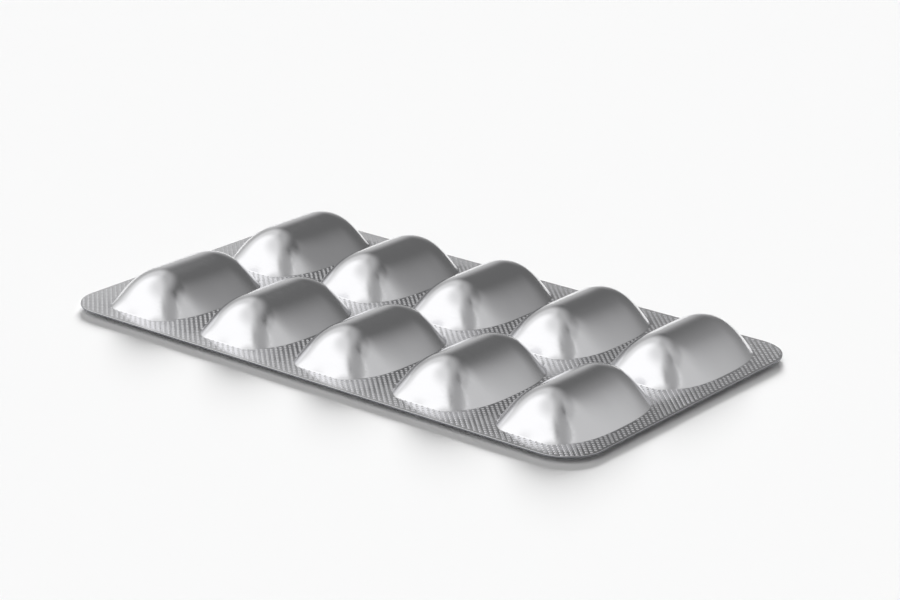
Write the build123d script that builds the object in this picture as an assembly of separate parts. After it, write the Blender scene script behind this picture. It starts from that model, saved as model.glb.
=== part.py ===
from build123d import *
import math
import os

# A foil blister pack: two rows of formed pockets on a flat sealed card, one closed solid.
# All sizes are in millimetres. X runs along the card, Y across it and Z up. The origin is
# under the middle of the card, at the level of the surface that the pack lies on.

# Card: the two foils sealed face to face
card_length = 110.0
card_width = 65.0
card_corner_radius = 7.0
card_thickness = 0.3

# Grid of pockets
column_count = 5
column_pitch = 21.1
row_count = 2
row_pitch = 30.6
grid_shift = 0.5

# Formed pocket, its long side across the card. Its outline is two arcs cut square at the ends
pocket_length = 27.9
pocket_width = 18.6
pocket_height = 6.4
pocket_side_radius = 27.0
pocket_crown_radius = 6.0
pocket_end_slope = 65.0

# Lidding foil under each pocket, pushed out a little by the tablet
bulge_length = 26.0
bulge_width = 16.9
bulge_height = 1.1
bulge_side_radius = 26.0

# The bulges are pressed flat where the pack rests on them
rest_flat_depth = 0.1


def oval(width, side_radius):
    """Pointed oval between two arcs that are bowed out to the given width."""
    shift = side_radius - width / 2
    return Pos(shift, 0) * Circle(side_radius) & Pos(-shift, 0) * Circle(side_radius)


def foil_pocket():
    """Pocket on z = 0: two sloping flanks, a round crown along their ridge and steep ends."""
    half_width = pocket_width / 2
    crown_drop = pocket_crown_radius - pocket_height
    flank_angle = math.asin(pocket_crown_radius / math.hypot(half_width, crown_drop))
    flank_angle -= math.atan2(crown_drop, half_width)
    sharp_ridge = half_width * math.tan(flank_angle)
    cone_height = sharp_ridge + card_thickness
    top_radius = pocket_side_radius - cone_height / math.tan(flank_angle)
    cone = Pos(0, 0, cone_height / 2) * Cone(pocket_side_radius, top_radius, cone_height)
    shift = pocket_side_radius - half_width
    pocket = Pos(shift, 0, 0) * cone & Pos(-shift, 0, 0) * cone
    ridge = pocket.edges().filter_by(GeomType.HYPERBOLA)
    pocket = fillet(ridge, pocket_crown_radius)
    slope = math.radians(pocket_end_slope)
    end_radius = pocket_length / 2 / math.sin(slope)
    end_depth = pocket_length / 2 / math.tan(slope)
    ends = Cylinder(end_radius, 2 * pocket_width, rotation=(0, 90, 0))
    return pocket & Pos(0, 0, -end_depth) * ends


def foil_bulge():
    """Shallow pillow on z = 0, arched both ways and trimmed to an oval."""
    across_radius = (bulge_width**2 / 4 + bulge_height**2) / (2 * bulge_height)
    along_radius = (bulge_length**2 / 4 + bulge_height**2) / (2 * bulge_height)
    across = Cylinder(across_radius, 2 * bulge_length, rotation=(90, 0, 0))
    along = Cylinder(along_radius, 2 * bulge_width, rotation=(0, 90, 0))
    pillow = extrude(oval(bulge_width, bulge_side_radius), 2 * bulge_height)
    pillow = pillow & Pos(0, 0, bulge_height - across_radius) * across
    return pillow & Pos(0, 0, bulge_height - along_radius) * along


def grid_places():
    """Middle of each pocket's foot, on z = 0."""
    places = []
    for column in range(column_count):
        x = grid_shift + (column - (column_count - 1) / 2) * column_pitch
        for row in range(row_count):
            y = (row - (row_count - 1) / 2) * row_pitch
            places.append(Pos(x, y, 0))
    return places


def sealed_pack():
    """The card with its pockets above and the lidding foil's bulges below."""
    card_under = bulge_height - rest_flat_depth
    card_top = card_under + card_thickness
    outline = RectangleRounded(card_length, card_width, card_corner_radius)
    pack = extrude(Pos(0, 0, card_under) * outline, card_thickness)
    pocket = Pos(0, 0, card_top) * foil_pocket()
    bulge = Pos(0, 0, card_under) * (Rot(180, 0, 0) * foil_bulge())
    rest_cut = Pos(0, 0, -card_thickness) * Box(card_length, card_width, 2 * card_thickness)
    bulge = bulge - rest_cut
    for place in grid_places():
        pack = pack + place * pocket
        pack = pack + place * bulge
    return pack


os.makedirs("parts", exist_ok=True)
export_step(sealed_pack(), "parts/sealed_blister_pack.step")
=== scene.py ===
import math

import bmesh
import bpy
from bpy.props import FloatProperty, FloatVectorProperty, IntProperty, PointerProperty
from mathutils import Matrix, Vector


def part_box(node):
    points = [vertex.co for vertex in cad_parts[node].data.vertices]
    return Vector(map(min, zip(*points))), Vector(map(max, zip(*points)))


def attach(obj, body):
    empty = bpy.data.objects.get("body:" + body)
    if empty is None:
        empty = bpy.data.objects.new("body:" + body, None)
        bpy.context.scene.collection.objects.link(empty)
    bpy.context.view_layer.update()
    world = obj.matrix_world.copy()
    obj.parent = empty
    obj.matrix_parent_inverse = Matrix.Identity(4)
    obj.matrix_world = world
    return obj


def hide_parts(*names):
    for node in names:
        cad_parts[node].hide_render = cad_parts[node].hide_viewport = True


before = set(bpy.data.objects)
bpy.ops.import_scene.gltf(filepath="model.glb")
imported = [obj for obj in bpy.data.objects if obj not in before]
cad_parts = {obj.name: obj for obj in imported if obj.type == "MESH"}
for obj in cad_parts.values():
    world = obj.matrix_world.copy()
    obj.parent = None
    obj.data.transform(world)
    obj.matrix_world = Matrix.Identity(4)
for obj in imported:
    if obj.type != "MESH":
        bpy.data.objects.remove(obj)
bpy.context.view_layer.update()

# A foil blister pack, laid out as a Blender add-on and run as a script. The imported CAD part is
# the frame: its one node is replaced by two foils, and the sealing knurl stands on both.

bl_info = {
    "name": "Foil blister pack",
    "version": (1, 0, 0),
    "blender": (4, 5, 0),
    "location": "View3D > Sidebar > Blister pack",
    "description": "Builds a foil blister pack, its sealing knurl and a plain studio",
    "category": "Add Mesh",
}

MM = 0.001
CAD_NODE = "sealed_blister_pack"
BODY = "root"

card_low, card_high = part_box(CAD_NODE)

# How finely the foils are divided, and the bend from which an edge is left sharp
RAYS = 120
FOOT_RINGS = 5
DOME_RINGS = 34
BULGE_RINGS = 16
CORNER_STEPS = 16
EDGE_STEPS = 4
OUTLINE_HALVINGS = 40
SHARP_ANGLE = math.radians(38)

# Shallow waves that the forming leaves in the foil
WAVE_LENGTH = 7 * MM
WAVE_DEPTH = 0.3 * MM
WAVE_STRENGTH = 0.12

# Rolling lines: their spacing, how many times longer they are, the noise values between which
# they run, and how much they change the roughness. Real lines are finer and wouldn't show
LINE_SPACING = 0.4 * MM
LINE_STRETCH = 50
LINE_LOW, LINE_HIGH = 0.35, 0.65
LINE_ROUGHNESS = 0.03

# Roughness of the matt cut edge, and how much rougher the lidding foil is than the formed one
CUT_ROUGHNESS = 0.55
LIDDING_ROUGHER = 0.05

# Where the knurl looks for level foil, in metres, and how level the foil must be
SEARCH_HEIGHT = 100 * MM
SEARCH_REACH = 1.0
LEVEL_COSINE = 0.9999
LEVEL_TOLERANCE = 0.02 * MM

# A stud's top as a share of its base, and its least and greatest height as shares of the height
STUD_TOP_SHARE = 0.3
LOWEST_STUD, HIGHEST_STUD = 0.8, 1.15

# The studio: half the floor's side in metres, then lights with their angles in degrees, where
# compass angles run from +Y towards +X
FLOOR_HALF = 3.0
BACK_LAMP = {"compass": -36, "height": 21, "spread": 22}
FRONT_LAMP = {"compass": 180, "height": 55, "spread": 62}
BACKDROP_WHITE = 0.965
FLOOR_LIGHT = 0.1
SURROUND_LIGHT = 0.145
ROUND_LIGHTS = (
    {"compass": -138, "height": 49, "full": 36, "edge": 16, "strength": 0.33},
    {"compass": -114, "height": 56, "full": 41.4, "edge": 18, "strength": 0.33},
)
PANELS = (
    {"compass": -147.5, "half": 66, "edge": 25, "top": 50, "fade": 50, "strength": 0.12},
    {"compass": -127, "half": 76, "edge": 18, "top": 52, "fade": 26, "strength": 0.27},
    {"compass": 58, "half": 26.5, "edge": 30, "top": 50, "fade": 6, "strength": 0.132},
    {"compass": 107, "half": 17, "edge": 15, "top": 58, "fade": 20, "strength": 0.25},
    {"compass": -38, "half": 0, "edge": 24, "top": 4, "fade": 24, "strength": 0.3},
)

# The light card behind the pack: it brightens along X, and its top edge slants up along X
LIGHT_CARD_Y = 65 * MM
LIGHT_CARD_REACH = 2.0
LIGHT_CARD_STRENGTH = 0.35
LIGHT_CARD_DARK_X = 2 * MM
LIGHT_CARD_BRIGHT_X = 126 * MM
LIGHT_CARD_SLANT = 1.5
LIGHT_CARD_FULL_Z = 80 * MM
LIGHT_CARD_CLEAR_Z = 200 * MM

# The camera, its place in metres and its angles in degrees
CAMERA_PLACE = (0.28061, -0.35785, 0.16946)
CAMERA_YAW = -37.583
CAMERA_PITCH = 19.7537
CAMERA_ROLL = -1.24493
SENSOR_WIDTH = 36.0


def linear(hex_code):
    """An sRGB hex colour as the linear colour that Blender's sockets take."""
    channels = []
    for start in (1, 3, 5):
        value = int(hex_code[start:start + 2], 16) / 255
        if value <= 0.04045:
            channels.append(value / 12.92)
        else:
            channels.append(((value + 0.055) / 1.055) ** 2.4)
    return (*channels, 1.0)


def millimetres(name, description, default):
    """A length property whose default is given in millimetres."""
    return FloatProperty(
        name=name,
        description=description,
        default=default * MM,
        min=0.0,
        precision=5,
        unit="LENGTH",
        subtype="DISTANCE",
    )


def colour(name, description, default):
    """A colour property whose default is an sRGB hex colour."""
    return FloatVectorProperty(
        name=name,
        description=description,
        default=linear(default),
        size=4,
        subtype="COLOR",
        min=0.0,
        max=1.0,
    )


class CardSizes(bpy.types.PropertyGroup):
    """The flat card and the grid of pockets on it."""

    length: FloatProperty(
        name="Length",
        description="Card's size along X",
        default=card_high.x - card_low.x,
        precision=5,
        unit="LENGTH",
        subtype="DISTANCE",
    )
    width: FloatProperty(
        name="Width",
        description="Card's size along Y",
        default=card_high.y - card_low.y,
        precision=5,
        unit="LENGTH",
        subtype="DISTANCE",
    )
    corner_radius: millimetres("Corner radius", "Radius of the card's corners in plan", 7.0)
    underside: millimetres("Underside height", "Height of the card's flat underside", 1.0)
    thickness: millimetres("Thickness", "Thickness of the two foils together", 0.3)
    edge_radius: millimetres("Edge radius", "Radius of each foil's cut edge", 0.06)
    columns: IntProperty(name="Columns", description="Pockets along X", default=5, min=1)
    rows: IntProperty(name="Rows", description="Pockets along Y", default=2, min=1)
    column_pitch: millimetres("Column pitch", "Distance between columns", 21.1)
    row_pitch: millimetres("Row pitch", "Distance between rows", 30.6)
    grid_shift: millimetres("Grid shift", "Shift of the whole grid along X", 0.5)


class PocketSizes(bpy.types.PropertyGroup):
    """One formed pocket."""

    length: millimetres("Length", "Length of the pocket's foot", 27.9)
    width: millimetres("Width", "Width of the pocket's foot", 18.6)
    height: millimetres("Height", "Height above the card", 6.4)
    oval_length: millimetres("Oval length", "Length of the whole oval outline", 29.6)
    oval_power: FloatProperty(
        name="Oval power",
        description="2 is an ellipse, more is squarer",
        default=2.6,
        min=1.5,
    )
    crown_radius: millimetres("Crown radius", "Radius across the top of the ridge", 6.7)
    end_radius: millimetres("End radius", "Radius of the ridge's fall at the ends", 8.8)
    foot_width: millimetres("Foot width", "Width of the soft bend at the foot", 0.2)


class BulgeSizes(bpy.types.PropertyGroup):
    """The lidding foil's bulge under one pocket."""

    length: millimetres("Length", "Length of the bulge", 26.0)
    width: millimetres("Width", "Width of the bulge", 16.9)
    flatness: FloatProperty(
        name="Flatness",
        description="Higher gives a flatter middle and steeper sides",
        default=3.0,
        min=1.0,
    )


class KnurlSizes(bpy.types.PropertyGroup):
    """The square knurl that the sealing tool leaves."""

    pitch: millimetres("Pitch", "Distance between studs along a diagonal line", 0.8)
    stud_width: millimetres("Stud width", "Width of a stud across its flats", 0.5)
    stud_height: millimetres("Stud height", "Height of a stud", 0.13)
    edge_margin: millimetres("Edge margin", "Clear strip along the cut edge", 0.3)
    seed: IntProperty(name="Seed", description="Seed of the studs' uneven height", default=3)


class FoilFinish(bpy.types.PropertyGroup):
    """Colours and gloss of the foils."""

    foil_colour: colour("Foil colour", "Colour of the bare aluminium", "#EBEBED")
    # The cut edge's mid grey is painted shade, which keeps the thin edge dark
    cut_edge_shade_colour: colour("Cut edge colour", "Colour of the matt cut edge", "#8E9094")
    foil_roughness: FloatProperty(
        name="Foil roughness",
        description="Roughness of the formed foil",
        default=0.16,
        subtype="FACTOR",
        min=0.0,
        max=1.0,
    )


class StudioSettings(bpy.types.PropertyGroup):
    """Floor, light and camera."""

    floor_colour: colour("Floor colour", "Colour of the pale floor", "#F2F2F2")
    back_strength: FloatProperty(
        name="Back lamp",
        description="Strength of the low lamp behind the pack",
        default=5.9,
        min=0.0,
    )
    front_strength: FloatProperty(
        name="Front lamp",
        description="Strength of the high lamp in front of the pack",
        default=1.167,
        min=0.0,
    )
    lens: FloatProperty(
        name="Lens",
        description="Focal length in millimetres",
        default=112.5,
        unit="CAMERA",
    )


class BlisterSettings(bpy.types.PropertyGroup):
    """All settings of the pack."""

    card: PointerProperty(type=CardSizes)
    pocket: PointerProperty(type=PocketSizes)
    bulge: PointerProperty(type=BulgeSizes)
    knurl: PointerProperty(type=KnurlSizes)
    finish: PointerProperty(type=FoilFinish)
    studio: PointerProperty(type=StudioSettings)


def rounded_rectangle(length, width, radius):
    """Points round a rectangle with round corners, anticlockwise."""
    points = []
    for quarter in range(4):
        side_x = 1 if quarter in (0, 3) else -1
        side_y = 1 if quarter in (0, 1) else -1
        centre_x = side_x * (length / 2 - radius)
        centre_y = side_y * (width / 2 - radius)
        for step in range(CORNER_STEPS + 1):
            angle = math.pi / 2 * (quarter + step / CORNER_STEPS)
            x = centre_x + radius * math.cos(angle)
            y = centre_y + radius * math.sin(angle)
            points.append((x, y))
    return points


def grid_places(card):
    """Middle of each pocket, as x and y."""
    places = []
    for column in range(card.columns):
        x = card.grid_shift + (column - (card.columns - 1) / 2) * card.column_pitch
        for row in range(card.rows):
            places.append((x, (row - (card.rows - 1) / 2) * card.row_pitch))
    return places


def oval_half_width(y, pocket):
    """Half width of the pocket's oval outline at y."""
    reach = min(1.0, abs(2 * y / pocket.oval_length)) ** pocket.oval_power
    return pocket.width / 2 * (1 - reach) ** (1 / pocket.oval_power)


def dome_height(x, y, pocket):
    """Height of the formed surface: a ridge that falls in an arc to each end, and across it a
    conic section with the crown's radius at the top, which meets the foot's outline."""
    radius = pocket.end_radius
    arc_run = math.sqrt(radius**2 - (radius - pocket.height) ** 2)
    past_level = max(0.0, abs(y) - (pocket.length / 2 - arc_run))
    ridge = pocket.height - radius + math.sqrt(max(0.0, radius**2 - past_level**2))
    half_width = oval_half_width(y, pocket)
    if ridge <= 0 or half_width <= 0:
        return 0.0
    crown = pocket.crown_radius * 2 * half_width / pocket.width
    bend = 2 * crown / ridge - (half_width / ridge) ** 2
    under_root = max(0.0, crown**2 - bend * x**2)
    return max(0.0, ridge - x**2 / (crown + math.sqrt(under_root)))


def reach_of_ray(angle, pocket):
    """Distance from the pocket's middle to its outline in one direction."""
    inside = 0.0
    outside = pocket.oval_length
    for halving in range(OUTLINE_HALVINGS):
        middle = (inside + outside) / 2
        x = middle * math.cos(angle)
        y = middle * math.sin(angle)
        if abs(y) < pocket.length / 2 and abs(x) < oval_half_width(y, pocket):
            inside = middle
        else:
            outside = middle
    return inside


def pocket_rings(pocket):
    """Rings of points from the soft bend at the foot up to just under the middle of the top."""
    half_foot = pocket.foot_width / 2
    rings = [[] for ring in range(FOOT_RINGS + DOME_RINGS)]
    for ray in range(RAYS):
        angle = 2 * math.pi * ray / RAYS
        cos, sin = math.cos(angle), math.sin(angle)
        reach = reach_of_ray(angle, pocket)
        bend_top = reach - half_foot
        bend_height = dome_height(bend_top * cos, bend_top * sin, pocket)
        for ring in range(FOOT_RINGS):
            share = ring / FOOT_RINGS
            distance = reach + half_foot - share * pocket.foot_width
            rings[ring].append((distance * cos, distance * sin, bend_height * share**2))
        for ring in range(DOME_RINGS):
            distance = bend_top * (1 - ring / DOME_RINGS)
            height = dome_height(distance * cos, distance * sin, pocket)
            rings[FOOT_RINGS + ring].append((distance * cos, distance * sin, height))
    return rings


def bulge_rings(bulge, depth):
    """Rings of points of one bulge, its depth measured upwards from the card."""
    rings = [[] for ring in range(BULGE_RINGS)]
    for ray in range(RAYS):
        angle = 2 * math.pi * ray / RAYS
        across = math.cos(angle) / (bulge.width / 2)
        along = math.sin(angle) / (bulge.length / 2)
        reach = 1 / math.hypot(across, along)
        for ring in range(BULGE_RINGS):
            share = 1 - ring / BULGE_RINGS
            fall = 1 - share**bulge.flatness
            height = depth * fall * fall * (3 - 2 * fall)
            distance = reach * share
            rings[ring].append((distance * math.cos(angle), distance * math.sin(angle), height))
    return rings


def bridge(mesh, outer, inner):
    """Quads between two rings of vertices, facing up when both run anticlockwise."""
    count = len(outer)
    for index in range(count):
        after = (index + 1) % count
        mesh.faces.new((outer[index], outer[after], inner[after], inner[index]))


def add_dome(mesh, rings, top, place, level):
    """Adds one dome at a place and returns the edges of its outermost ring."""
    loops = []
    for ring in rings:
        loops.append([mesh.verts.new((place[0] + x, place[1] + y, level + z)) for x, y, z in ring])
    for outer, inner in zip(loops, loops[1:]):
        bridge(mesh, outer, inner)
    apex = mesh.verts.new((place[0], place[1], level + top))
    last = loops[-1]
    for index in range(len(last)):
        mesh.faces.new((last[index], last[(index + 1) % len(last)], apex))
    return ring_edges(mesh, loops[0])


def ring_edges(mesh, ring):
    """The edges between neighbours in a closed ring, made where they are missing."""
    edges = []
    for index in range(len(ring)):
        pair = (ring[index], ring[(index + 1) % len(ring)])
        edges.append(mesh.edges.get(pair) or mesh.edges.new(pair))
    return edges


def outline_loop(mesh, card, inset, level):
    """Vertices along the card's outline, moved inwards by the inset, at one level."""
    points = rounded_rectangle(
        card.length - 2 * inset, card.width - 2 * inset, card.corner_radius - inset
    )
    return [mesh.verts.new((x, y, level)) for x, y in points]


def foil_mesh(name, card, rings, top, flat_level, seam_level):
    """A closed foil: domes on a flat face with holes for them, a rounded cut edge, and a flat
    face at the seam between the two foils. It is built facing up."""
    mesh = bmesh.new()
    hole_edges = []
    for place in grid_places(card):
        hole_edges += add_dome(mesh, rings, top, place, flat_level)
    loops = []
    for step in range(EDGE_STEPS + 1):
        angle = math.pi / 2 * step / EDGE_STEPS
        inset = card.edge_radius * (1 - math.sin(angle))
        drop = card.edge_radius * (1 - math.cos(angle))
        loops.append(outline_loop(mesh, card, inset, flat_level - drop))
    loops.append(outline_loop(mesh, card, 0.0, seam_level))
    for inner, outer in zip(loops, loops[1:]):
        bridge(mesh, outer, inner)
    mesh.faces.new(list(reversed(loops[-1])))
    rim_edges = ring_edges(mesh, loops[0])
    bmesh.ops.triangle_fill(mesh, edges=hole_edges + rim_edges, normal=(0, 0, 1))
    made = bpy.data.meshes.new(name)
    mesh.to_mesh(made)
    mesh.free()
    return made


def finish_mesh(made, turned):
    """Turns a mesh over when asked to, makes all its faces point outwards and smooths it."""
    mesh = bmesh.new()
    mesh.from_mesh(made)
    if turned:
        bmesh.ops.scale(mesh, vec=(1, 1, -1), verts=mesh.verts)
    bmesh.ops.recalc_face_normals(mesh, faces=mesh.faces)
    mesh.to_mesh(made)
    mesh.free()
    made.shade_smooth()
    made.set_sharp_from_angle(angle=SHARP_ANGLE)


def add_piece(name, made, material):
    """Links a mesh as an object at the origin with one material."""
    piece = bpy.data.objects.new(name, made)
    made.materials.clear()
    made.materials.append(material)
    bpy.context.scene.collection.objects.link(piece)
    return piece


def add_sheet(name, corners, material):
    """Links one flat four-cornered face as an object at the origin."""
    sheet = bpy.data.meshes.new(name)
    sheet.from_pydata(corners, [], [(0, 1, 2, 3)])
    return add_piece(name, sheet, material)


def add_node(tree, kind, settings=None, inputs=()):
    """Adds a node, sets its properties, and sets or links its inputs. They are given in order,
    or by name or number, and a node among them stands for its first output."""
    made = tree.nodes.new(kind)
    for key, value in (settings or {}).items():
        setattr(made, key, value)
    if not isinstance(inputs, dict):
        inputs = dict(enumerate(inputs))
    for key, value in inputs.items():
        if isinstance(value, bpy.types.Node):
            value = value.outputs[0]
        if isinstance(value, bpy.types.NodeSocket):
            tree.links.new(value, made.inputs[key])
        else:
            made.inputs[key].default_value = value
    return made


def new_material(name):
    """An empty node material and its tree."""
    material = bpy.data.materials.new(name)
    material.use_nodes = True
    material.node_tree.nodes.clear()
    return material, material.node_tree


def formed_aluminium(finish, card, name, roughness):
    """Rolled aluminium foil drawn over a form: a satin mirror whose reflections are soft and
    a little uneven, with faint lines along the rolling direction and a matt cut edge whose
    mid grey is painted shade."""
    material, tree = new_material(name)
    place = add_node(tree, "ShaderNodeTexCoord").outputs["Object"]
    # The cut edge is all that lies between the card's two flat faces
    height = add_node(tree, "ShaderNodeSeparateXYZ", inputs={"Vector": place})
    middle = card.underside + card.thickness / 2
    reach = card.thickness / 2 - card.edge_radius / 2
    cut = add_node(
        tree, "ShaderNodeMath", {"operation": "COMPARE"}, (height.outputs["Z"], middle, reach)
    )
    # The cut edge takes the mid grey, which is painted shade that keeps it dark
    # A mix of colours takes them at inputs 6 and 7 and gives its result at output 2
    tint = add_node(
        tree,
        "ShaderNodeMix",
        {"data_type": "RGBA"},
        {0: cut, 6: tuple(finish.foil_colour), 7: tuple(finish.cut_edge_shade_colour)},
    )
    waves = add_node(
        tree,
        "ShaderNodeTexNoise",
        inputs={"Vector": place, "Scale": 1 / WAVE_LENGTH, "Detail": 1.0},
    )
    # The rolling lines run along X
    stretch = add_node(
        tree,
        "ShaderNodeMapping",
        inputs={"Vector": place, "Scale": (1 / LINE_STRETCH, 1.0, 1.0)},
    )
    lines = add_node(
        tree,
        "ShaderNodeTexNoise",
        inputs={"Vector": stretch, "Scale": 1 / LINE_SPACING, "Detail": 2.0},
    )
    gloss = add_node(
        tree,
        "ShaderNodeMapRange",
        inputs={
            "Value": lines.outputs["Fac"],
            "From Min": LINE_LOW,
            "From Max": LINE_HIGH,
            "To Min": roughness - LINE_ROUGHNESS,
            "To Max": roughness + LINE_ROUGHNESS,
        },
    )
    # A mix of numbers takes them at inputs 2 and 3
    matt = add_node(
        tree, "ShaderNodeMix", {"data_type": "FLOAT"}, {0: cut, 2: gloss, 3: CUT_ROUGHNESS}
    )
    bump = add_node(
        tree,
        "ShaderNodeBump",
        inputs={
            "Height": waves.outputs["Fac"],
            "Strength": WAVE_STRENGTH,
            "Distance": WAVE_DEPTH,
        },
    )
    shader = add_node(
        tree,
        "ShaderNodeBsdfPrincipled",
        inputs={
            "Base Color": tint.outputs[2],
            "Metallic": 1.0,
            "Roughness": matt,
            "Normal": bump,
        },
    )
    add_node(tree, "ShaderNodeOutputMaterial", inputs={"Surface": shader})
    return material


def pale_floor(studio):
    """Matt white board: an even pale ground that keeps soft shadows."""
    material, tree = new_material("matt_white_board")
    shader = add_node(
        tree, "ShaderNodeBsdfDiffuse", inputs={"Color": tuple(studio.floor_colour)}
    )
    add_node(tree, "ShaderNodeOutputMaterial", inputs={"Surface": shader})
    return material


def knurl_inputs(tree):
    """Gives the knurl's tree its sockets and returns each size's identifier."""
    face = tree.interface
    face.new_socket(name="Geometry", in_out="OUTPUT", socket_type="NodeSocketGeometry")
    face.new_socket(name="Foil", in_out="INPUT", socket_type="NodeSocketGeometry")
    identifiers = {}
    for name in (
        "Pitch", "Stud width", "Stud height", "Card length", "Card width",
        "Corner radius", "Edge margin", "Level", "Side",
    ):
        socket = face.new_socket(name=name, in_out="INPUT", socket_type="NodeSocketFloat")
        identifiers[name] = socket.identifier
    socket = face.new_socket(name="Seed", in_out="INPUT", socket_type="NodeSocketInt")
    identifiers["Seed"] = socket.identifier
    return identifiers


def lattice_points(tree, group):
    """A square lattice turned by 45 degrees, wide enough to cover the card's diagonal, held
    clear of the foil on the side that the knurl is on."""
    span = add_node(
        tree, "ShaderNodeMath", {"operation": "ADD"}, (group["Card length"], group["Card width"])
    )
    share = add_node(tree, "ShaderNodeMath", {"operation": "DIVIDE"}, (span, group["Pitch"]))
    steps = add_node(tree, "ShaderNodeMath", {"operation": "FLOOR"}, (share,))
    size = add_node(tree, "ShaderNodeMath", {"operation": "MULTIPLY"}, (steps, group["Pitch"]))
    count = add_node(tree, "ShaderNodeMath", {"operation": "ADD"}, (steps, 1.0))
    lattice = add_node(
        tree,
        "GeometryNodeMeshGrid",
        inputs={"Size X": size, "Size Y": size, "Vertices X": count, "Vertices Y": count},
    )
    height = add_node(
        tree, "ShaderNodeMath", {"operation": "MULTIPLY"}, (group["Side"], SEARCH_HEIGHT)
    )
    above = add_node(tree, "ShaderNodeCombineXYZ", inputs={"Z": height})
    return add_node(
        tree,
        "GeometryNodeTransform",
        inputs={
            "Geometry": lattice,
            "Translation": above,
            "Rotation": (0.0, 0.0, math.pi / 4),
        },
    )


def ray_to_foil(tree, group):
    """Each lattice point looks straight at the foil."""
    fall = add_node(tree, "ShaderNodeMath", {"operation": "MULTIPLY"}, (group["Side"], -1.0))
    towards = add_node(tree, "ShaderNodeCombineXYZ", inputs={"Z": fall})
    return add_node(
        tree,
        "GeometryNodeRaycast",
        inputs={
            "Target Geometry": group["Foil"],
            "Ray Direction": towards,
            "Ray Length": SEARCH_REACH,
        },
    )


def sealed_flat(tree, group, ray):
    """1 where a ray meets a level part of the card that is clear of the cut edge, else 0."""
    normal = add_node(tree, "ShaderNodeSeparateXYZ", inputs=(ray.outputs["Hit Normal"],))
    hit = add_node(tree, "ShaderNodeSeparateXYZ", inputs=(ray.outputs["Hit Position"],))
    cosine = add_node(
        tree, "ShaderNodeMath", {"operation": "MULTIPLY"}, (normal.outputs["Z"], group["Side"])
    )
    upright = add_node(
        tree, "ShaderNodeMath", {"operation": "GREATER_THAN"}, (cosine, LEVEL_COSINE)
    )
    on_card = add_node(
        tree,
        "ShaderNodeMath",
        {"operation": "COMPARE"},
        (hit.outputs["Z"], group["Level"], LEVEL_TOLERANCE),
    )
    # How far a point lies past the straight part of each side, and so past a corner's middle
    past_sides = []
    for axis, size in (("X", "Card length"), ("Y", "Card width")):
        half = add_node(tree, "ShaderNodeMath", {"operation": "MULTIPLY"}, (group[size], 0.5))
        straight = add_node(
            tree, "ShaderNodeMath", {"operation": "SUBTRACT"}, (half, group["Corner radius"])
        )
        aside = add_node(tree, "ShaderNodeMath", {"operation": "ABSOLUTE"}, (hit.outputs[axis],))
        past = add_node(tree, "ShaderNodeMath", {"operation": "SUBTRACT"}, (aside, straight))
        past_sides.append(
            add_node(tree, "ShaderNodeMath", {"operation": "MAXIMUM"}, (past, 0.0))
        )
    corner = add_node(tree, "ShaderNodeCombineXYZ", inputs=past_sides)
    past_corner = add_node(tree, "ShaderNodeVectorMath", {"operation": "LENGTH"}, (corner,))
    limit = add_node(
        tree,
        "ShaderNodeMath",
        {"operation": "SUBTRACT"},
        (group["Corner radius"], group["Edge margin"]),
    )
    clear = add_node(
        tree, "ShaderNodeMath", {"operation": "LESS_THAN"}, (past_corner.outputs["Value"], limit)
    )
    kept = upright
    for test in (on_card, clear, ray.outputs["Is Hit"]):
        kept = add_node(tree, "ShaderNodeMath", {"operation": "MULTIPLY"}, (kept, test))
    return kept


def stud_shape(tree, group):
    """A low pyramid with a small flat top, square to the lattice."""
    base_radius = add_node(
        tree, "ShaderNodeMath", {"operation": "DIVIDE"}, (group["Stud width"], math.sqrt(2))
    )
    top_radius = add_node(
        tree, "ShaderNodeMath", {"operation": "MULTIPLY"}, (base_radius, STUD_TOP_SHARE)
    )
    return add_node(
        tree,
        "GeometryNodeMeshCone",
        {"fill_type": "NGON"},
        {
            "Vertices": 4,
            "Radius Top": top_radius,
            "Radius Bottom": base_radius,
            "Depth": group["Stud height"],
        },
    )


def knurl_tree(material):
    """Geometry Nodes: a diagonal lattice of low studs on every flat, level part of the foil
    that the modifier sits on, clear of the pockets and of the cut edge."""
    tree = bpy.data.node_groups.new("Sealing knurl", "GeometryNodeTree")
    identifiers = knurl_inputs(tree)
    group = tree.nodes.new("NodeGroupInput").outputs
    points = lattice_points(tree, group)
    ray = ray_to_foil(tree, group)
    kept = sealed_flat(tree, group, ray)
    left_out = add_node(tree, "ShaderNodeMath", {"operation": "LESS_THAN"}, (kept, 0.5))
    culled = add_node(
        tree,
        "GeometryNodeDeleteGeometry",
        {"domain": "POINT"},
        {"Geometry": points, "Selection": left_out},
    )
    landed = add_node(
        tree,
        "GeometryNodeSetPosition",
        inputs={"Geometry": culled, "Position": ray.outputs["Hit Position"]},
    )
    # A random number has its limits at inputs 2 and 3 and its result at output 1
    uneven = add_node(
        tree,
        "FunctionNodeRandomValue",
        {"data_type": "FLOAT"},
        {2: LOWEST_STUD, 3: HIGHEST_STUD, "Seed": group["Seed"]},
    )
    height_scale = add_node(tree, "ShaderNodeCombineXYZ", inputs=(1.0, 1.0, uneven.outputs[1]))
    # The studs turn over about X where their side is -1
    turns = add_node(tree, "ShaderNodeMath", {"operation": "SUBTRACT"}, (1.0, group["Side"]))
    turn = add_node(tree, "ShaderNodeMath", {"operation": "MULTIPLY"}, (turns, math.pi / 2))
    facing = add_node(tree, "ShaderNodeCombineXYZ", inputs={"X": turn})
    studs = add_node(
        tree,
        "GeometryNodeInstanceOnPoints",
        inputs={
            "Points": landed,
            "Instance": stud_shape(tree, group),
            "Rotation": facing,
            "Scale": height_scale,
        },
    )
    real = add_node(tree, "GeometryNodeRealizeInstances", inputs={"Geometry": studs})
    dressed = add_node(
        tree, "GeometryNodeSetMaterial", inputs={"Geometry": real, "Material": material}
    )
    add_node(tree, "NodeGroupOutput", inputs=(dressed,))
    return tree, identifiers


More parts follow.
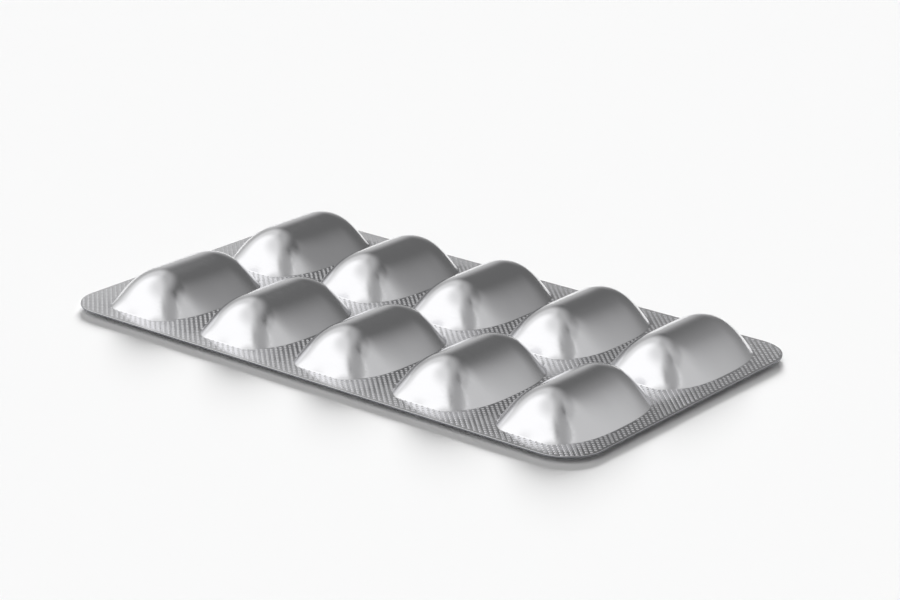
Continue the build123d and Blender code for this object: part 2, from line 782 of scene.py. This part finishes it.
def knurl_on(foil, name, side, settings, material):
    """Runs the knurl's tree on one foil and returns the studs as a plain mesh object."""
    tree, identifiers = knurl_tree(material)
    holder = bpy.data.objects.new(name + "_holder", foil.data.copy())
    bpy.context.scene.collection.objects.link(holder)
    modifier = holder.modifiers.new("Sealing knurl", "NODES")
    modifier.node_group = tree
    knurl, card = settings.knurl, settings.card
    values = {
        "Pitch": knurl.pitch,
        "Stud width": knurl.stud_width,
        "Stud height": knurl.stud_height,
        "Card length": card.length,
        "Card width": card.width,
        "Corner radius": card.corner_radius,
        "Edge margin": knurl.edge_margin,
        "Level": card.underside + (card.thickness if side > 0 else 0.0),
        "Side": float(side),
        "Seed": knurl.seed,
    }
    for key, value in values.items():
        modifier[identifiers[key]] = value
    holder.update_tag()
    graph = bpy.context.evaluated_depsgraph_get()
    made = bpy.data.meshes.new_from_object(holder.evaluated_get(graph))
    holder.modifiers.remove(modifier)
    bpy.data.objects.remove(holder)
    made.name = name
    made.shade_flat()
    return add_piece(name, made, material)


class BLISTER_OT_forming_foil(bpy.types.Operator):
    """Builds the upper foil with its ten formed pockets"""

    bl_idname = "blister.forming_foil"
    bl_label = "Forming foil"

    def execute(self, context):
        settings = context.scene.blister_pack
        card, pocket, finish = settings.card, settings.pocket, settings.finish
        made = foil_mesh(
            "forming_foil",
            card,
            pocket_rings(pocket),
            top=pocket.height,
            flat_level=card.underside + card.thickness,
            seam_level=card.underside + card.thickness / 2,
        )
        finish_mesh(made, turned=False)
        material = formed_aluminium(finish, card, "formed_aluminium_foil", finish.foil_roughness)
        foil = add_piece("forming_foil", made, material)
        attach(foil, BODY)
        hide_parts(CAD_NODE)
        return {"FINISHED"}


class BLISTER_OT_lidding_foil(bpy.types.Operator):
    """Builds the lower foil, pushed out a little under each pocket"""

    bl_idname = "blister.lidding_foil"
    bl_label = "Lidding foil"

    def execute(self, context):
        settings = context.scene.blister_pack
        card, finish = settings.card, settings.finish
        # It is built upside down, so its levels are counted downwards
        made = foil_mesh(
            "lidding_foil",
            card,
            bulge_rings(settings.bulge, card.underside),
            top=card.underside,
            flat_level=-card.underside,
            seam_level=-card.underside - card.thickness / 2,
        )
        finish_mesh(made, turned=True)
        rougher = finish.foil_roughness + LIDDING_ROUGHER
        material = formed_aluminium(finish, card, "lidding_aluminium_foil", rougher)
        foil = add_piece("lidding_foil", made, material)
        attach(foil, BODY)
        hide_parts(CAD_NODE)
        return {"FINISHED"}


class BLISTER_OT_knurl(bpy.types.Operator):
    """Stands the sealing knurl's studs on the flat parts of both foils"""

    bl_idname = "blister.knurl"
    bl_label = "Sealing knurl"

    def execute(self, context):
        settings = context.scene.blister_pack
        for foil_name, name, side in (
            ("forming_foil", "knurl_upper", 1),
            ("lidding_foil", "knurl_lower", -1),
        ):
            foil = bpy.data.objects[foil_name]
            material = foil.data.materials[0]
            studs = knurl_on(foil, name, side, settings, material)
            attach(studs, BODY)
        return {"FINISHED"}


class BLISTER_OT_studio(bpy.types.Operator):
    """Sets up the pale floor, the soft light and the camera"""

    bl_idname = "blister.studio"
    bl_label = "Studio"

    def execute(self, context):
        scene = context.scene
        studio = scene.blister_pack.studio
        half = FLOOR_HALF
        corners = ((-half, -half, 0), (half, -half, 0), (half, half, 0), (-half, half, 0))
        floor = add_sheet("floor", corners, pale_floor(studio))
        add_lamp(scene, "back_lamp", studio.back_strength, **BACK_LAMP)
        add_lamp(scene, "front_lamp", studio.front_strength, **FRONT_LAMP)
        soft_card()
        studio_world(scene)
        add_camera(scene, studio)
        scene.view_settings.view_transform = "Standard"
        return {"FINISHED"}


def soft_step(tree, value, full, none, strength):
    """The strength where the value reaches full, a smooth fall, and nothing from none on."""
    return add_node(
        tree,
        "ShaderNodeMapRange",
        {"interpolation_type": "SMOOTHSTEP"},
        {"Value": value, "From Min": none, "From Max": full, "To Min": 0.0, "To Max": strength},
    )


def soft_card():
    """A tall light card close behind the pack, brighter towards its right. Only the foil's
    reflections see it, and they see what stands behind it as well."""
    material, tree = new_material("soft_light_card")
    place = add_node(tree, "ShaderNodeTexCoord").outputs["Object"]
    parts = add_node(tree, "ShaderNodeSeparateXYZ", inputs={"Vector": place}).outputs
    along = soft_step(
        tree, parts["X"], LIGHT_CARD_BRIGHT_X, LIGHT_CARD_DARK_X, LIGHT_CARD_STRENGTH
    )
    rise = add_node(
        tree, "ShaderNodeMath", {"operation": "MULTIPLY"}, (parts["X"], LIGHT_CARD_SLANT)
    )
    slant = add_node(tree, "ShaderNodeMath", {"operation": "SUBTRACT"}, (parts["Z"], rise))
    upwards = soft_step(tree, slant, LIGHT_CARD_FULL_Z, LIGHT_CARD_CLEAR_Z, 1.0)
    strength = add_node(tree, "ShaderNodeMath", {"operation": "MULTIPLY"}, (along, upwards))
    glow = add_node(tree, "ShaderNodeEmission", inputs={"Strength": strength})
    clear = add_node(tree, "ShaderNodeBsdfTransparent")
    both = add_node(tree, "ShaderNodeAddShader", inputs=(glow, clear))
    add_node(tree, "ShaderNodeOutputMaterial", inputs={"Surface": both})
    y, reach = LIGHT_CARD_Y, LIGHT_CARD_REACH
    corners = ((0, y, 0), (reach, y, 0), (reach, y, reach), (0, y, reach))
    card = add_sheet("soft_card", corners, material)
    card.visible_camera = False
    card.visible_diffuse = False
    card.visible_shadow = False


def direction_to(compass, height):
    """Unit vector towards a compass angle and a height, both in degrees."""
    compass, height = math.radians(compass), math.radians(height)
    return Vector((
        math.sin(compass) * math.cos(height),
        math.cos(compass) * math.cos(height),
        math.sin(height),
    ))


def add_lamp(scene, name, strength, compass, height, spread):
    """A far, broad lamp that lights the floor and isn't mirrored in the foil."""
    lamp = bpy.data.lights.new(name, "SUN")
    lamp.energy = strength
    lamp.angle = math.radians(spread)
    holder = bpy.data.objects.new(name, lamp)
    holder.rotation_euler = direction_to(compass, height).to_track_quat("Z", "Y").to_euler()
    holder.visible_glossy = False
    scene.collection.objects.link(holder)


def round_light(tree, direction, compass, height, full, edge, strength):
    """A round light: full within an angle of its middle and faded over the edge."""
    aimed = add_node(
        tree,
        "ShaderNodeVectorMath",
        {"operation": "DOT_PRODUCT"},
        (direction, direction_to(compass, height)),
    )
    full_cosine = math.cos(math.radians(full))
    none_cosine = math.cos(math.radians(full + edge))
    return soft_step(tree, aimed.outputs["Value"], full_cosine, none_cosine, strength)


def upright_panel(tree, compass_angle, height_angle, compass, half, edge, top, fade, strength):
    """An upright panel: full within half its width of a compass angle and faded over the edge,
    and full up to its top and faded above it."""
    aside = add_node(
        tree, "ShaderNodeMath", {"operation": "SUBTRACT"}, (compass_angle, math.radians(compass))
    )
    wrapped = add_node(tree, "ShaderNodeMath", {"operation": "WRAP"}, (aside, math.pi, -math.pi))
    distance = add_node(tree, "ShaderNodeMath", {"operation": "ABSOLUTE"}, (wrapped,))
    half, edge, top, fade = (math.radians(angle) for angle in (half, edge, top, fade))
    across = soft_step(tree, distance, half, half + edge, strength)
    upwards = soft_step(tree, height_angle, top, top + fade, 1.0)
    return add_node(tree, "ShaderNodeMath", {"operation": "MULTIPLY"}, (across, upwards))


def studio_world(scene):
    """Soft studio: a dim surround with broad, even lights that the foil mirrors. The camera
    itself sees plain white beyond the floor."""
    world = bpy.data.worlds.new("studio")
    scene.world = world
    world.use_nodes = True
    tree = world.node_tree
    tree.nodes.clear()
    direction = add_node(tree, "ShaderNodeTexCoord").outputs["Generated"]
    parts = add_node(tree, "ShaderNodeSeparateXYZ", inputs={"Vector": direction}).outputs
    compass = add_node(
        tree, "ShaderNodeMath", {"operation": "ARCTAN2"}, (parts["X"], parts["Y"])
    )
    height = add_node(tree, "ShaderNodeMath", {"operation": "ARCSINE"}, (parts["Z"],))
    lights = [round_light(tree, direction, **light) for light in ROUND_LIGHTS]
    lights += [upright_panel(tree, compass, height, **panel) for panel in PANELS]
    total = SURROUND_LIGHT
    for light in lights:
        total = add_node(tree, "ShaderNodeMath", {"operation": "ADD"}, (total, light))
    # Reflections see the studio, the matt floor sees a little even light, the camera sees white
    path = add_node(tree, "ShaderNodeLightPath").outputs
    unseen = add_node(
        tree,
        "ShaderNodeMix",
        {"data_type": "FLOAT"},
        {0: path["Is Glossy Ray"], 2: FLOOR_LIGHT, 3: total},
    )
    seen = add_node(
        tree,
        "ShaderNodeMix",
        {"data_type": "FLOAT"},
        {0: path["Is Camera Ray"], 2: unseen, 3: BACKDROP_WHITE},
    )
    light = add_node(
        tree,
        "ShaderNodeBackground",
        inputs={"Color": (1.0, 1.0, 1.0, 1.0), "Strength": seen},
    )
    add_node(tree, "ShaderNodeOutputWorld", inputs={"Surface": light})


def add_camera(scene, studio):
    """The camera at the photograph's viewing angle."""
    lens = bpy.data.cameras.new("camera")
    lens.lens = studio.lens
    lens.sensor_width = SENSOR_WIDTH
    camera = bpy.data.objects.new("camera", lens)
    yaw = math.radians(CAMERA_YAW)
    pitch = math.radians(CAMERA_PITCH)
    roll = math.radians(CAMERA_ROLL)
    forward = Vector((
        math.sin(yaw) * math.cos(pitch),
        math.cos(yaw) * math.cos(pitch),
        -math.sin(pitch),
    ))
    right = Vector((math.cos(yaw), -math.sin(yaw), 0.0))
    down = forward.cross(right)
    turned_right = math.cos(roll) * right + math.sin(roll) * down
    turned_down = math.cos(roll) * down - math.sin(roll) * right
    place = Matrix((turned_right, -turned_down, -forward)).transposed().to_4x4()
    place.translation = Vector(CAMERA_PLACE)
    camera.matrix_world = place
    scene.collection.objects.link(camera)
    scene.camera = camera


STEPS = (
    BLISTER_OT_forming_foil,
    BLISTER_OT_lidding_foil,
    BLISTER_OT_knurl,
    BLISTER_OT_studio,
)


class BLISTER_PT_pack(bpy.types.Panel):
    """Lists the pack's steps and its settings"""

    bl_idname = "BLISTER_PT_pack"
    bl_label = "Blister pack"
    bl_space_type = "VIEW_3D"
    bl_region_type = "UI"
    bl_category = "Blister pack"

    def draw(self, context):
        settings = context.scene.blister_pack
        for step in STEPS:
            self.layout.operator(step.bl_idname)
        for group in (
            settings.card,
            settings.pocket,
            settings.bulge,
            settings.knurl,
            settings.finish,
            settings.studio,
        ):
            box = self.layout.box()
            for key in group.__annotations__:
                box.prop(group, key)


CLASSES = (
    CardSizes,
    PocketSizes,
    BulgeSizes,
    KnurlSizes,
    FoilFinish,
    StudioSettings,
    BlisterSettings,
    *STEPS,
    BLISTER_PT_pack,
)


def register():
    """Registers the classes and hangs the settings on the scene."""
    for each in CLASSES:
        bpy.utils.register_class(each)
    bpy.types.Scene.blister_pack = PointerProperty(type=BlisterSettings)


def unregister():
    """Undoes register()."""
    del bpy.types.Scene.blister_pack
    for each in reversed(CLASSES):
        bpy.utils.unregister_class(each)


def main():
    """Builds everything in order."""
    register()
    bpy.ops.blister.forming_foil()
    bpy.ops.blister.lidding_foil()
    bpy.ops.blister.knurl()
    bpy.ops.blister.studio()


if __name__ == "__main__":
    main()
